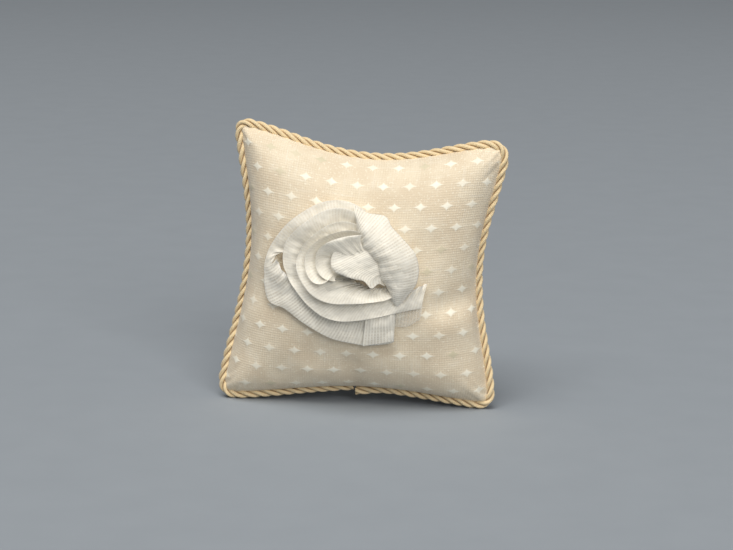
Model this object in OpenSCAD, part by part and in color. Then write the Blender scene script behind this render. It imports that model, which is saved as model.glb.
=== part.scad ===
// Miniature ring bearer pillow, standing upright on its two bottom corners.
// The pillow's mid-plane is upright and its front faces -Y. Z is up, and the
// table is at z = 0. The origin is under the middle of the bounding box.
// Two sewn panels hold the stuffing, a twisted cord trims the seam, and a
// rosette of folded sheer ribbon is tacked to the front panel.

/* [Pillow] */
// Length of the bottom side, between the sharp corners of the seam
bottom_side = 33.4; // [28:0.2:40]
// Height of the seam's top left corner above its bottom corners
left_height = 34; // [28:0.2:40]
// Height of the seam's top right corner above its bottom corners
right_height = 32.2; // [28:0.2:40]
// How far the top left corner stands in from the bottom left one
top_left_in = 2.4; // [0:0.2:4]
// How far the top right corner stands out past the bottom right one
top_right_out = 1.4; // [0:0.2:4]
// Greatest thickness of the stuffed pillow
thickness = 12; // [8:0.5:16]
// How the thickness falls to nothing at the seam: 0.5 is an ellipse, less is fuller
fullness = 0.45; // [0.4:0.01:0.6]
// Thickness of the woven fabric
fabric = 0.2; // [0.1:0.05:0.4]
// Width of the seam allowance turned in behind the seam
allowance = 2.4; // [1.5:0.1:3]

/* [Seam line] */
// How far the bottom side bows inward
bottom_bow = 1.6; // [0:0.1:4]
// How far the right side bows inward
right_bow = 2.5; // [0:0.1:4]
// How far the top side bows inward
top_bow = 3; // [0:0.1:4]
// How far the left side bows inward
left_bow = 2.4; // [0:0.1:4]
// Part of a side taken up by the rounding of the bottom left corner
round_bottom_left = 0.07; // [0.03:0.005:0.12]
// Part of a side taken up by the rounding of the bottom right corner
round_bottom_right = 0.055; // [0.03:0.005:0.12]
// Part of a side taken up by the rounding of the top right corner
round_top_right = 0.08; // [0.03:0.005:0.12]
// Part of a side taken up by the rounding of the top left corner
round_top_left = 0.045; // [0.03:0.005:0.12]

/* [Trim cord] */
// Diameter of the twisted cord
cord_d = 1.1; // [0.6:0.1:1.6]
// Gap between the cord's two cut ends
cord_gap = 0.3; // [0.1:0.1:1]
// Where the ends meet, as a part of the bottom side from its left corner
cord_join = 0.5; // [0.3:0.01:0.7]

/* [Thread] */
// Diameter of the sewing thread
thread_d = 0.16; // [0.1:0.02:0.3]
// Number of machine stitches along each side of the seam
seam_stitch_count = 18; // [8:1:30]
// Number of blind stitches that hold the cord along each side
trim_stitch_count = 11; // [6:1:20]
// Number of hand stitches that close the turning gap
closing_stitch_count = 7; // [3:1:12]

/* [Rosette] */
// How far the rosette's middle lies left of the pillow's middle
rosette_left = 1.6; // [0:0.1:5]
// How far the rosette's middle lies above the pillow's middle
rosette_up = 0; // [-3:0.1:3]
// How far the bud lies right of the rosette's middle
bud_right = 1.1; // [-2:0.1:2]
// How far the bud lies above the rosette's middle
bud_up = 1.8; // [-2:0.1:2]
// How far the bud stands out from the fullest point of the front panel
rosette_rise = 4; // [2:0.2:6]
// Thickness of the folded sheer ribbon, two layers together
ribbon = 0.24; // [0.12:0.02:0.4]

/* [Hidden] */

cream = [0.93, 0.89, 0.8];
straw = [0.87, 0.74, 0.52];
sheer_white = [0.97, 0.97, 0.95];
thread_white = [0.95, 0.93, 0.88];

cord_r = cord_d / 2;
half_t = thickness / 2;
mid_y = rosette_rise / 2;
grid = 22;
clear = 0.04;

// Corners and sides run counterclockwise from the bottom left, as seen from the front.
corners = [
    [0, 0],
    [bottom_side, 0],
    [bottom_side + top_right_out, right_height],
    [top_left_in, left_height]
];
bows = [bottom_bow, right_bow, top_bow, left_bow];
bow_places = [0.53, 0.52, 0.5, 0.45];
rounds = [round_bottom_left, round_bottom_right, round_top_right, round_top_left];

// A side at t from 0 to 1: its straight line, bowed inward with flat ends.
function bowed_side(k, t) =
    let (a = corners[k], d = corners[(k + 1) % 4] - a)
    let (inward = [-d[1], d[0]] / norm(d))
    let (lean = ln(0.5) / ln(bow_places[k]))
    a + d * t + inward * bows[k] * pow(abs(sin(180 * pow(t, lean))), 1.5);

// The rounding of corner k, from the side before it (s = 0) to the side after it (s = 1).
function rounded_corner(k, s) =
    let (a = bowed_side((k + 3) % 4, 1 - rounds[k]), b = bowed_side(k, rounds[k]))
    a * pow(1 - s, 2) + corners[k] * 2 * s * (1 - s) + b * pow(s, 2);

// Side k between the middles of its two rounded corners.
function flat_seam(k, t) =
    let (first = rounds[k], last = rounds[(k + 1) % 4])
    t < first ? rounded_corner(k, 0.5 + 0.5 * t / first)
    : t > 1 - last ? rounded_corner((k + 1) % 4, 0.5 * (t - 1 + last) / last)
    : bowed_side(k, t);

// The seam is shifted so that it is centred, and the cord on it just meets the table.
side_points = 50;
outline = [for (k = [0:3], i = [0:side_points - 1]) flat_seam(k, i / side_points)];
outline_x = [for (p = outline) p[0]];
outline_z = [for (p = outline) p[1]];
shift = [-(min(outline_x) + max(outline_x)) / 2, cord_r - min(outline_z)];
function seam(k, t) = flat_seam(k, t) + shift;

mid_z = (min(outline_z) + max(outline_z)) / 2 + shift[1];
half_w = (bottom_side - right_bow - left_bow) / 2;
half_h = (left_height + right_height) / 4 - (top_bow + bottom_bow) / 2;

// Point (u, v) of the pillow's mid-plane, filled in between the four sides.
function flat_point(u, v) =
    (1 - v) * seam(0, u) + v * seam(2, 1 - u)
    + (1 - u) * seam(3, 1 - v) + u * seam(1, v)
    - (1 - u) * (1 - v) * seam(0, 0) - u * (1 - v) * seam(1, 0)
    - u * v * seam(2, 0) - (1 - u) * v * seam(3, 0);

// Half of the pillow's thickness at (u, v).
function loft(u, v) = half_t * pow(16 * u * (1 - u) * v * (1 - v), fullness);

// How much of its height the fabric at (u, v) loses where a bottom corner is pressed flat.
// The foot is so wide in u, and in v it grows in, is flat, and fades out again.
foot_wide = 0.22;
foot_from = 0.012;
foot_flat = 0.05;
foot_top = 0.16;
foot_level = 1.6;
function foot(u, v) =
    let (side_u = min(u, 1 - u))
    side_u > foot_wide || v < foot_from / 4 ? 0
    : min(1, foot_level * pow(sin(180 * side_u / foot_wide), 2))
    * min(1, v / foot_from)
    * min(1, max(0, (foot_top - v) / (foot_top - foot_flat)));

// Point (u, v) of a panel's face. Side is -1 in front and 1 at the back, and in is
// how far the face lies inside the panel's outer face.
function panel_point(side, u, v, in) =
    let (p = flat_point(u, v))
    [
        p[0],
        mid_y + side * max(loft(u, v) - in, clear),
        max(p[1] * (1 - foot(u, v)), in)
    ];

// Grid values crowd towards the seam, where the fabric turns fastest.
function crowd(i) = (1 - cos(180 * i / grid)) / 2;
function inside(t, margin) = margin + t * (1 - 2 * margin);

// Indices of the grid's edge points in order, and the faces between two grids or rings.
edge_ij = concat(
    [for (i = [0:grid - 1]) [i, 0]],
    [for (j = [0:grid - 1]) [grid, j]],
    [for (i = [grid:-1:1]) [i, grid]],
    [for (j = [grid:-1:1]) [0, j]]
);
rim = len(edge_ij);
grid_points = (grid + 1) * (grid + 1);
function at(ij) = ij[1] * (grid + 1) + ij[0];
function flip(faces, yes) = yes ? [for (f = faces) [for (i = [len(f) - 1:-1:0]) f[i]]] : faces;
function grid_faces(start, turned) = flip([
    for (j = [0:grid - 1], i = [0:grid - 1], half = [0, 1])
        let (a = start + at([i, j]), b = a + 1, c = a + grid + 2, d = a + grid + 1)
        half == 0 ? [a, c, b] : [a, d, c]
], turned);
function strip_faces(ring_a, ring_b) = [
    for (i = [0:rim - 1], half = [0, 1])
        let (j = (i + 1) % rim)
        half == 0 ? [ring_a[i], ring_b[j], ring_b[i]] : [ring_a[i], ring_a[j], ring_b[j]]
];

// One panel: the bulging fabric and the seam allowance turned in behind its edge.
module panel(side) {
    turn_in = 0.02;
    outer = [
        for (j = [0:grid], i = [0:grid])
            let (u = crowd(i), v = crowd(j))
            panel_point(side, u, v, 0)
    ];
    inner = [
        for (j = [0:grid], i = [0:grid])
            let (u = inside(crowd(i), turn_in), v = inside(crowd(j), turn_in))
            let (p = panel_point(side, u, v, fabric))
            [p[0], mid_y + side * max(side * (p[1] - mid_y), fabric + 2 * clear), p[2]]
    ];
    allowance_edge = [
        for (level = [clear, clear + fabric], e = edge_ij)
            let (m = allowance / bottom_side)
            let (p = flat_point(inside(crowd(e[0]), m), inside(crowd(e[1]), m)))
            [p[0], mid_y + side * level, p[1]]
    ];
    outer_ring = [for (e = edge_ij) at(e)];
    inner_ring = [for (e = edge_ij) grid_points + at(e)];
    near_ring = [for (i = [0:rim - 1]) 2 * grid_points + i];
    far_ring = [for (i = [0:rim - 1]) 2 * grid_points + rim + i];
    faces = concat(
        grid_faces(0, false),
        grid_faces(grid_points, true),
        strip_faces(outer_ring, near_ring),
        strip_faces(near_ring, far_ring),
        strip_faces(far_ring, inner_ring)
    );
    polyhedron(concat(outer, inner, allowance_edge), flip(faces, side > 0));
}

module front_panel() {
    color(cream) panel(-1);
}

module back_panel() {
    color(cream) panel(1);
}

// The stuffing fills the panels inside the seam allowance.
module fiberfill() {
    margin = (allowance + 0.6) / bottom_side;
    sheets = [
        for (side = [-1, 1], j = [0:grid], i = [0:grid])
            let (u = inside(crowd(i), margin), v = inside(crowd(j), margin))
            panel_point(side, u, v, fabric + 2 * clear)
    ];
    front_ring = [for (e = edge_ij) at(e)];
    back_ring = [for (e = edge_ij) grid_points + at(e)];
    color("white") polyhedron(sheets, concat(
        grid_faces(0, false),
        grid_faces(grid_points, true),
        strip_faces(front_ring, back_ring)
    ));
}

// A straight length of thread between two points.
module thread(a, b) {
    d = b - a;
    translate(a)
    rotate([0, acos(d[2] / norm(d)), atan2(d[1], d[0])])
    cylinder(h = norm(d), d = thread_d, $fn = 16);
}

// A point on the seam line moved inward by a distance, at a depth from the mid-plane.
function by_seam(k, t, inward, depth) =
    let (a = seam(k, t), d = seam(k, t + 0.01) - seam(k, t - 0.01))
    let (n = [-d[1], d[0]] / norm(d))
    [a[0] + n[0] * inward, mid_y + depth, a[1] + n[1] * inward];

// Machine stitches along the seam: one row of short threads on each side of the allowance.
module seam_stitches() {
    depth = fabric + clear + thread_d;
    from_seam = 1.5;
    stitch_part = 0.7;
    first = 0.1;
    pitch = (1 - 2 * first) / seam_stitch_count;
    color(thread_white)
    for (k = [0:3], i = [0:seam_stitch_count - 1], side = [-1, 1]) {
        t = first + pitch * (i + (side > 0 ? 0.5 : 0));
        thread(
            by_seam(k, t, from_seam, side * depth),
            by_seam(k, t + stitch_part * pitch, from_seam, side * depth)
        );
    }
}

// Slanting hand stitches across the turning gap in the bottom seam, behind the cord.
module closing_stitches() {
    gap_from = 0.35;
    gap_part = 0.3;
    slant = 0.6;
    pitch = gap_part / closing_stitch_count;
    color(thread_white)
    for (i = [0:closing_stitch_count - 1]) {
        t = gap_from + pitch * i;
        thread(
            by_seam(0, t, -0.02, cord_r + 0.12),
            by_seam(0, t + slant * pitch, 0.6, cord_r + 0.9)
        );
    }
}

// The route of the cord: the whole seam, from the join round to the join again.
cord_steps = 24;
function cord_route_point(s) =
    let (whole = cord_join + s, k = floor(whole) % 4)
    seam(k, whole - floor(whole));
function cord_route() =
    let (trim = cord_gap / 2 / bottom_side, n = 4 * cord_steps)
    [for (i = [0:n]) cord_route_point(trim + (4 - 2 * trim) * i / n)];

// The cord as a round tube along its route, with flat cut ends.
module trim_cord() {
    sides = 8;
    route = cord_route();
    last = len(route) - 1;
    points = [
        for (i = [0:last], j = [0:sides - 1])
            let (d = route[min(i + 1, last)] - route[max(i - 1, 0)])
            let (out = [d[1], -d[0]] / norm(d), a = 360 * (j + 0.5) / sides)
            let (r = cord_r / cos(180 / sides))
            [
                route[i][0] + out[0] * r * cos(a),
                mid_y + r * sin(a),
                max(0, route[i][1] + out[1] * r * cos(a))
            ]
    ];
    skin = [
        for (i = [0:last - 1], j = [0:sides - 1], half = [0, 1])
            let (a = i * sides + j, b = i * sides + (j + 1) % sides)
            half == 0 ? [a, b + sides, b] : [a, a + sides, b + sides]
    ];
    ends = [
        [for (j = [0:sides - 1]) j],
        [for (j = [sides - 1:-1:0]) last * sides + j]
    ];
    color(straw) polyhedron(points, concat(skin, ends));
}

// Blind stitches that hold the cord to the seam's fold.
module trim_stitches() {
    first = 0.12;
    pitch = (1 - 2 * first) / (trim_stitch_count - 1);
    color(thread_white)
    for (k = [0:3], i = [0:trim_stitch_count - 1]) {
        t = first + pitch * i;
        thread(by_seam(k, t, cord_r + 0.02, 0), by_seam(k, t, cord_r + 0.5, 0));
    }
}

// Height of the front panel's face over the mid-plane, near its middle.
rosette_x = -rosette_left;
rosette_z = mid_z + rosette_up;
function face_height(x, z) =
    half_t * pow(max(0.02, (1 - pow(x / half_w, 2)) * (1 - pow((z - mid_z) / half_h, 2))), fullness);

// A point of the rosette at r and angle, and h above the front panel. The inner turns
// are centred on the bud, and the outer ones on the rosette's middle.
rosette_r = 9.4;
function on_rosette(r, angle, h) =
    let (near_bud = max(0, 1 - r / rosette_r))
    let (x = rosette_x + bud_right * near_bud + r * cos(angle))
    let (z = rosette_z + bud_up * near_bud + r * sin(angle))
    [x, mid_y - face_height(x, z) - h, z];

// A band of folded ribbon from angle a0 to a1. It rises from its base radius and height
// to its rim, sags a little between them, and both ends are drawn in towards the base.
module petal(a0, a1, base_r, rim_r, base_h, rim_h) {
    steps = 18;
    end_part = 0.35;
    sag = 0.2;
    points = [
        for (i = [0:steps])
            let (t = i / steps, a = a0 + (a1 - a0) * t)
            let (full = end_part + (1 - end_part) * pow(sin(180 * t), 0.5))
            let (out_r = base_r + (rim_r - base_r) * full, top_h = base_h + (rim_h - base_h) * full)
            let (belly_r = (base_r + out_r) / 2, belly_h = (base_h + top_h) / 2 - sag)
            each [
                on_rosette(base_r, a, base_h),
                on_rosette(belly_r, a, belly_h),
                on_rosette(out_r, a, top_h),
                on_rosette(out_r, a, top_h + ribbon),
                on_rosette(belly_r - 0.1, a, belly_h + ribbon),
                on_rosette(base_r - 0.2, a, base_h + ribbon)
            ]
    ];
    skin = [
        for (i = [0:steps - 1], j = [0:5], half = [0, 1])
            let (a = i * 6 + j, b = i * 6 + (j + 1) % 6)
            half == 0 ? [a, b + 6, a + 6] : [a, b, b + 6]
    ];
    ends = [
        [for (j = [5:-1:0]) j],
        [for (j = [0:5]) steps * 6 + j]
    ];
    color(sheer_white) polyhedron(points, concat(skin, ends));
}

// The tight roll in the middle of the rosette.
module rosette_bud() {
    bud_r = 1.3;
    color(sheer_white)
    translate([rosette_x + bud_right, mid_y - half_t - rosette_rise, rosette_z + bud_up])
    rotate([-90, 0, 0])
    difference() {
        cylinder(h = rosette_rise - 0.4, r = bud_r, $fn = 32);
        translate([0, 0, -1]) cylinder(h = rosette_rise / 2 + 1, r = bud_r - ribbon, $fn = 32);
    }
}

module inner_petal_left() {
    petal(60, 250, 2.2, 3.4, 0.9, 3.4);
}

module inner_petal_right() {
    petal(-100, 50, 2.2, 3.6, 0.9, 3.1);
}

module inner_petal_lower() {
    petal(175, 345, 3.4, 4.8, 0.7, 2.6);
}

module middle_petal_upper() {
    petal(30, 190, 3.8, 6, 0.5, 2.6);
}

module middle_petal_lower() {
    petal(196, 340, 4.4, 6.2, 0.4, 1.9);
}

module outer_petal_right() {
    petal(-24, 82, 5.4, rosette_r - 0.1, 0.3, 2);
}

module outer_petal_left() {
    petal(78, 188, 6.4, rosette_r - 0.2, 0.15, 1.2);
}

module outer_petal_bottom() {
    petal(188, 318, 5.6, rosette_r - 0.2, 0.1, 1);
}

// The cut tail of the ribbon, lying on the fabric below the right petal.
module ribbon_tail() {
    petal(-36, -8, 8, 10.4, 0.1, 0.4);
}

// The gathering thread drawn up round the base of the rosette.
module gather_thread() {
    stitches = 12;
    color(thread_white)
    for (i = [0:stitches - 1]) {
        a = 360 * i / stitches;
        thread(on_rosette(2, a, 0.4), on_rosette(2, a + 20, 0.4));
    }
}

// The stitches that hold the rosette to the front panel.
module tack_stitches() {
    color(thread_white)
    for (a = [45:90:315]) {
        thread(on_rosette(1, a, 0.15), on_rosette(1.7, a, 0.15));
    }
}

front_panel();
back_panel();
fiberfill();
seam_stitches();
closing_stitches();
trim_cord();
trim_stitches();
rosette_bud();
inner_petal_left();
inner_petal_right();
inner_petal_lower();
middle_petal_upper();
middle_petal_lower();
outer_petal_right();
outer_petal_left();
outer_petal_bottom();
ribbon_tail();
gather_thread();
tack_stitches();
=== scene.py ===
"""Looks of the miniature ring bearer pillow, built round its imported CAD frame.

Lengths are in millimetres, in the CAD's own frame, until a mesh or a light is made in metres.
The pillow stands upright: +X is to the right, its front faces -Y, and the table is at z = 0.
"""

import math

import bpy
import numpy as np
from mathutils import Matrix, Vector, noise
from mathutils.bvhtree import BVHTree


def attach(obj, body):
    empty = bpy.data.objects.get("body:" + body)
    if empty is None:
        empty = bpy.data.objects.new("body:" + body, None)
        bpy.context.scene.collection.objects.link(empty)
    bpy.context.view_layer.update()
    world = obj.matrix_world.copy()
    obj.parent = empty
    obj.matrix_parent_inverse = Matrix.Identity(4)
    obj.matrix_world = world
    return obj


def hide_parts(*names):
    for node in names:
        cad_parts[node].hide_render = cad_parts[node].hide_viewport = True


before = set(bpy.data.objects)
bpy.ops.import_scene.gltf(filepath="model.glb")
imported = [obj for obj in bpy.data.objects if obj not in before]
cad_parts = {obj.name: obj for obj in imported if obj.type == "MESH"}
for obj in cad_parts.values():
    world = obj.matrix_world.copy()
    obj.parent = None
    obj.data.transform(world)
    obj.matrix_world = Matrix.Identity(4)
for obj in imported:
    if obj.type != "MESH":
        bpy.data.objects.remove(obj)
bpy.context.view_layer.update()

MM = 0.001


# ---------------------------------------------------------------- sizes shared with the CAD

# The seam's corners, from the bottom left and counterclockwise as seen from the front.
BOTTOM_SIDE, LEFT_HEIGHT, RIGHT_HEIGHT = 33.4, 34.0, 32.2
TOP_LEFT_IN, TOP_RIGHT_OUT = 2.4, 1.4
CORNERS = np.array([
    (0, 0),
    (BOTTOM_SIDE, 0),
    (BOTTOM_SIDE + TOP_RIGHT_OUT, RIGHT_HEIGHT),
    (TOP_LEFT_IN, LEFT_HEIGHT),
])
BOWS = (1.6, 2.5, 3.0, 2.4)
BOW_PLACES = (0.53, 0.52, 0.5, 0.45)
BOW_POWER = 1.5
ROUNDS = (0.07, 0.055, 0.08, 0.045)
THICKNESS = 12.0
FULLNESS = 0.45
CORD_D = 1.1
CORD_JOIN = 0.5
CORD_GAP = 0.3
ALLOWANCE = 2.4
FABRIC = 0.2
MID_Y = 2.0

# The cloth as it was cut and marked, before it was sewn and stuffed.
CUT_SIDE = 34.0


# ---------------------------------------------------------------- seam and mid-plane

class Outline:
    """Four sides with rounded corners. Side k runs from corner k to the next one."""

    def __init__(self, corners, bows, places, rounds):
        self.corners, self.bows, self.places, self.rounds = corners, bows, places, rounds

    def bowed_side(self, k, t):
        a, d = self.corners[k], self.corners[(k + 1) % 4] - self.corners[k]
        inward = np.array([-d[1], d[0]]) / np.linalg.norm(d)
        lean = math.log(0.5) / math.log(self.places[k])
        bow = self.bows[k] * np.abs(np.sin(np.pi * t ** lean)) ** BOW_POWER
        return a + d * t[..., None] + inward * bow[..., None]

    def rounded_corner(self, k, s):
        a = self.bowed_side((k + 3) % 4, np.array(1 - self.rounds[k]))
        b = self.bowed_side(k, np.array(self.rounds[k]))
        s = s[..., None]
        return a * (1 - s) ** 2 + self.corners[k] * 2 * s * (1 - s) + b * s ** 2

    def side(self, k, t):
        """Side k between the middles of its two rounded corners, for t from 0 to 1."""
        t = np.asarray(t, float)
        first, last = self.rounds[k], self.rounds[(k + 1) % 4]
        leaving = self.rounded_corner(k, 0.5 + 0.5 * np.minimum(t / first, 1))
        arriving = self.rounded_corner((k + 1) % 4, 0.5 * np.clip((t - 1 + last) / last, 0, 1))
        straight = self.bowed_side(k, np.clip(t, 0, 1))
        t = t[..., None]
        return np.where(t < first, leaving, np.where(t > 1 - last, arriving, straight))

    def loop(self, s):
        """The whole outline, for s from 0 to 4."""
        s = np.asarray(s, float) % 4
        k = np.floor(s).astype(int)
        points = np.zeros(s.shape + (2,))
        for side in range(4):
            points[k == side] = self.side(side, s[k == side] - side)
        return points

    def inside(self, u, v):
        """Point (u, v) of the sheet that the four sides span."""
        u, v = np.asarray(u, float), np.asarray(v, float)
        bottom, right = self.side(0, u), self.side(1, v)
        top, left = self.side(2, 1 - u), self.side(3, 1 - v)
        c = [self.side(k, 0.0) for k in range(4)]
        u, v = u[..., None], v[..., None]
        across = (1 - v) * bottom + v * top + (1 - u) * left + u * right
        corners = (1 - u) * (1 - v) * c[0] + u * (1 - v) * c[1] + u * v * c[2] + (1 - u) * v * c[3]
        return across - corners


def placed_seam():
    """The seam in the CAD's frame: centred, with the cord on it just meeting the table."""
    seam = Outline(CORNERS, BOWS, BOW_PLACES, ROUNDS)
    points = seam.loop(np.arange(200) / 50)
    low, high = points.min(0), points.max(0)
    shift = np.array([-(low[0] + high[0]) / 2, CORD_D / 2 - low[1]])
    return Outline(CORNERS + shift, BOWS, BOW_PLACES, ROUNDS)


SEAM = placed_seam()
CUT = Outline(
    CUT_SIDE * np.array([(0, 0), (1, 0), (1, 1), (0, 1)]), (0, 0, 0, 0), BOW_PLACES, ROUNDS
)


def grid_uv(n, margin=0.0):
    """Two (n + 1) by (n + 1) arrays of u and v, from margin to 1 - margin."""
    line = margin + np.arange(n + 1) / n * (1 - 2 * margin)
    return np.meshgrid(line, line)


# ---------------------------------------------------------------- meshes from grids of points

def refine(grid):
    """A grid with a smooth new point between each two, both ways."""
    for axis in (0, 1):
        g = np.moveaxis(grid, axis, 0)
        before = np.concatenate([2 * g[:1] - g[1:2], g[:-2]])
        after = np.concatenate([g[2:], 2 * g[-1:] - g[-2:-1]])
        fine = np.empty((2 * len(g) - 1,) + g.shape[1:])
        fine[::2] = g
        fine[1::2] = (9 * (g[:-1] + g[1:]) - before - after) / 16
        grid = np.moveaxis(fine, 0, axis)
    return grid


def grid_normals(grid):
    """Unit normals of a grid whose rows run with v and columns with u, towards -Y in front."""
    along_u = np.gradient(grid, axis=1)
    along_v = np.gradient(grid, axis=0)
    n = np.cross(along_u, along_v)
    return n / np.maximum(np.linalg.norm(n, axis=2, keepdims=True), 1e-9)


def grid_faces(rows, columns, start=0, flip=False):
    """Quads of a grid of points, counterclockwise in u and v unless flipped."""
    index = start + np.arange(rows * columns).reshape(rows, columns)
    quads = np.stack(
        [index[:-1, :-1], index[:-1, 1:], index[1:, 1:], index[1:, :-1]], axis=-1
    ).reshape(-1, 4)
    return quads[:, ::-1] if flip else quads


def rim_of(index):
    """The edge of a grid of indices, counterclockwise from the bottom left."""
    return np.concatenate([index[0, :-1], index[:-1, -1], index[-1, :0:-1], index[:0:-1, 0]])


def band_faces(ring_a, ring_b):
    """Quads between two closed rings of indices."""
    return np.stack([ring_a, ring_b, np.roll(ring_b, -1), np.roll(ring_a, -1)], axis=-1)


def make_mesh(name, points, faces, uv=None, smooth=True):
    """An object from points in millimetres, and a UV for each point, also in millimetres."""
    mesh = bpy.data.meshes.new(name)
    mesh.from_pydata(np.asarray(points) * MM, [], [tuple(int(i) for i in f) for f in faces])
    if uv is not None:
        layer = mesh.uv_layers.new(name="cloth")
        corner_vertex = np.empty(len(mesh.loops), int)
        mesh.loops.foreach_get("vertex_index", corner_vertex)
        layer.data.foreach_set("uv", np.asarray(uv, float)[corner_vertex].ravel())
    mesh.polygons.foreach_set("use_smooth", np.full(len(mesh.polygons), smooth))
    mesh.update()
    obj = bpy.data.objects.new(name, mesh)
    bpy.context.scene.collection.objects.link(obj)
    return obj


def finish_piece(obj, material, node):
    """Gives a piece its material and its body, and hides the CAD node it replaces."""
    obj.data.materials.clear()
    obj.data.materials.append(material)
    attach(obj, "root")
    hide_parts(node)


# ---------------------------------------------------------------- material nodes

class Nodes:
    """Short forms for the node tree of one material. Colours are linear."""

    def __init__(self, name):
        self.material = bpy.data.materials.new(name)
        self.material.use_nodes = True
        self.tree = self.material.node_tree
        self.shader = self.tree.nodes["Principled BSDF"]

    def put(self, socket, value):
        if isinstance(value, bpy.types.NodeSocket):
            self.tree.links.new(value, socket)
        elif value is not None:
            socket.default_value = value

    def node(self, kind, inputs=(), **settings):
        node = self.tree.nodes.new(kind)
        for name, value in settings.items():
            setattr(node, name, value)
        for key, value in dict(inputs).items():
            self.put(node.inputs[key], value)
        return node

    def math(self, operation, a, b=None, c=None):
        node = self.node("ShaderNodeMath", {0: a, 1: b, 2: c}, operation=operation)
        return node.outputs[0]

    def step(self, value, start, end):
        """0 below start, 1 above end, smooth between."""
        node = self.node(
            "ShaderNodeMapRange",
            {"Value": value, "From Min": start, "From Max": end},
            interpolation_type="SMOOTHSTEP",
        )
        return node.outputs["Result"]

    def mix(self, share, a, b):
        node = self.node("ShaderNodeMix", {0: share}, data_type="RGBA")
        self.put(node.inputs[6], a)
        self.put(node.inputs[7], b)
        return node.outputs[2]

    def tint(self, colour, mask, amount, added):
        """The colour with another mixed in, by an amount where the mask is 1."""
        return self.mix(self.math("MULTIPLY", mask, amount), colour, added)

    def blend(self, share, a, b):
        node = self.node("ShaderNodeMix", {0: share, 2: a, 3: b}, data_type="FLOAT")
        return node.outputs[0]

    def uv(self):
        """The UV vector, which is in millimetres on the flat cloth, and its two parts."""
        node = self.node("ShaderNodeUVMap", uv_map="cloth")
        parts = self.node("ShaderNodeSeparateXYZ", {0: node.outputs[0]})
        return node.outputs[0], parts.outputs[0], parts.outputs[1]

    def noise(self, vector, scale, detail=3.0, roughness=0.5):
        node = self.node(
            "ShaderNodeTexNoise",
            {"Vector": vector, "Scale": scale, "Detail": detail, "Roughness": roughness},
        )
        return node.outputs["Fac"]

    def ripple(self, value, pitch):
        """A wave from 0 to 1 and back once in each pitch."""
        turn = self.math("MULTIPLY", value, 2 * math.pi / pitch)
        return self.math("MULTIPLY_ADD", self.math("COSINE", turn), 0.5, 0.5)

    def bump(self, height, depth_mm):
        node = self.node(
            "ShaderNodeBump", {"Height": height, "Distance": depth_mm * MM, "Strength": 1.0}
        )
        return node.outputs[0]

    def set(self, **inputs):
        for name, value in inputs.items():
            self.put(self.shader.inputs[name.replace("_", " ")], value)
        return self.material


def rgb(r, g, b):
    return (r, g, b, 1.0)


def plain_weave(n, u, v, pitch):
    """Height, from 0 to 1, of plain woven threads one pitch apart along u and v."""
    s, t = n.math("DIVIDE", u, pitch), n.math("DIVIDE", v, pitch)

    def threads(across, along, first):
        """Round threads side by side, each going over and under the ones that it crosses."""
        profile = n.math("ABSOLUTE", n.math("SINE", n.math("MULTIPLY", across, math.pi)))
        turn = n.math("ADD", along, n.math("ADD", n.math("FLOOR", across), first))
        over = n.math("MULTIPLY_ADD", n.math("COSINE", n.math("MULTIPLY", turn, math.pi)), 0.5, 0.5)
        return n.math("MULTIPLY", profile, over)

    return n.math("MAXIMUM", threads(s, t, 0.5), threads(t, s, 1.5))


# Distances between threads, and how deep the surface of each material is, in millimetres.
THREAD_PITCH = 0.3
RIBBON_PITCH = 0.39
STRAND_PITCH = 0.13
TWIST_PITCH = 0.12
WEAVE_DEPTH, NET_DEPTH, CORD_DEPTH, THREAD_DEPTH, TANGLE_DEPTH = 0.028, 0.04, 0.05, 0.02, 0.3
# The noise that makes slubs is stretched along the thread and squeezed across it.
SLUB_ALONG, SLUB_ACROSS = 0.25, 2.6
# Slant of the fibres on a ply, and where the painted shade of the groove beside it starts and ends,
# in ply radii.
FIBRE_LEAN = 0.3
GROOVE_SHADE = (1.2, 2.6)
# Widths of the ribbon's fold, made denser and painted whiter as a highlight, and of its selvedge,
# and how dense the selvedge is.
FOLD_BAND, SELVEDGE, SELVEDGE_COVER = 0.5, 0.45, 0.55

# The satin diamonds stand in rows, each row shifted by half a pitch from the next. The
# columns lean a little, because the cloth was cut slightly off its grain.
MOTIF_PITCH, MOTIF_ROW = 3.25, 2.7
MOTIF_WIDE, MOTIF_HIGH = 2.05, 1.3
MOTIF_FIRST = (0.25, 2.3)
MOTIF_LEAN = 0.018
MOTIF_POINTED = 0.65
# Where a diamond's colour and its relief fade out: a spread of 0 is its middle, 1 its edge.
MOTIF_SOFT = (0.75, 1.15)
MOTIF_SLOPE = (0.8, 1.4)
MOTIF_RAISED = 0.04
# Share of the diamonds painted darker, as satin in shade where its sheen turns away.
SHADED_DIAMOND_SHARE = 0.22


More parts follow.
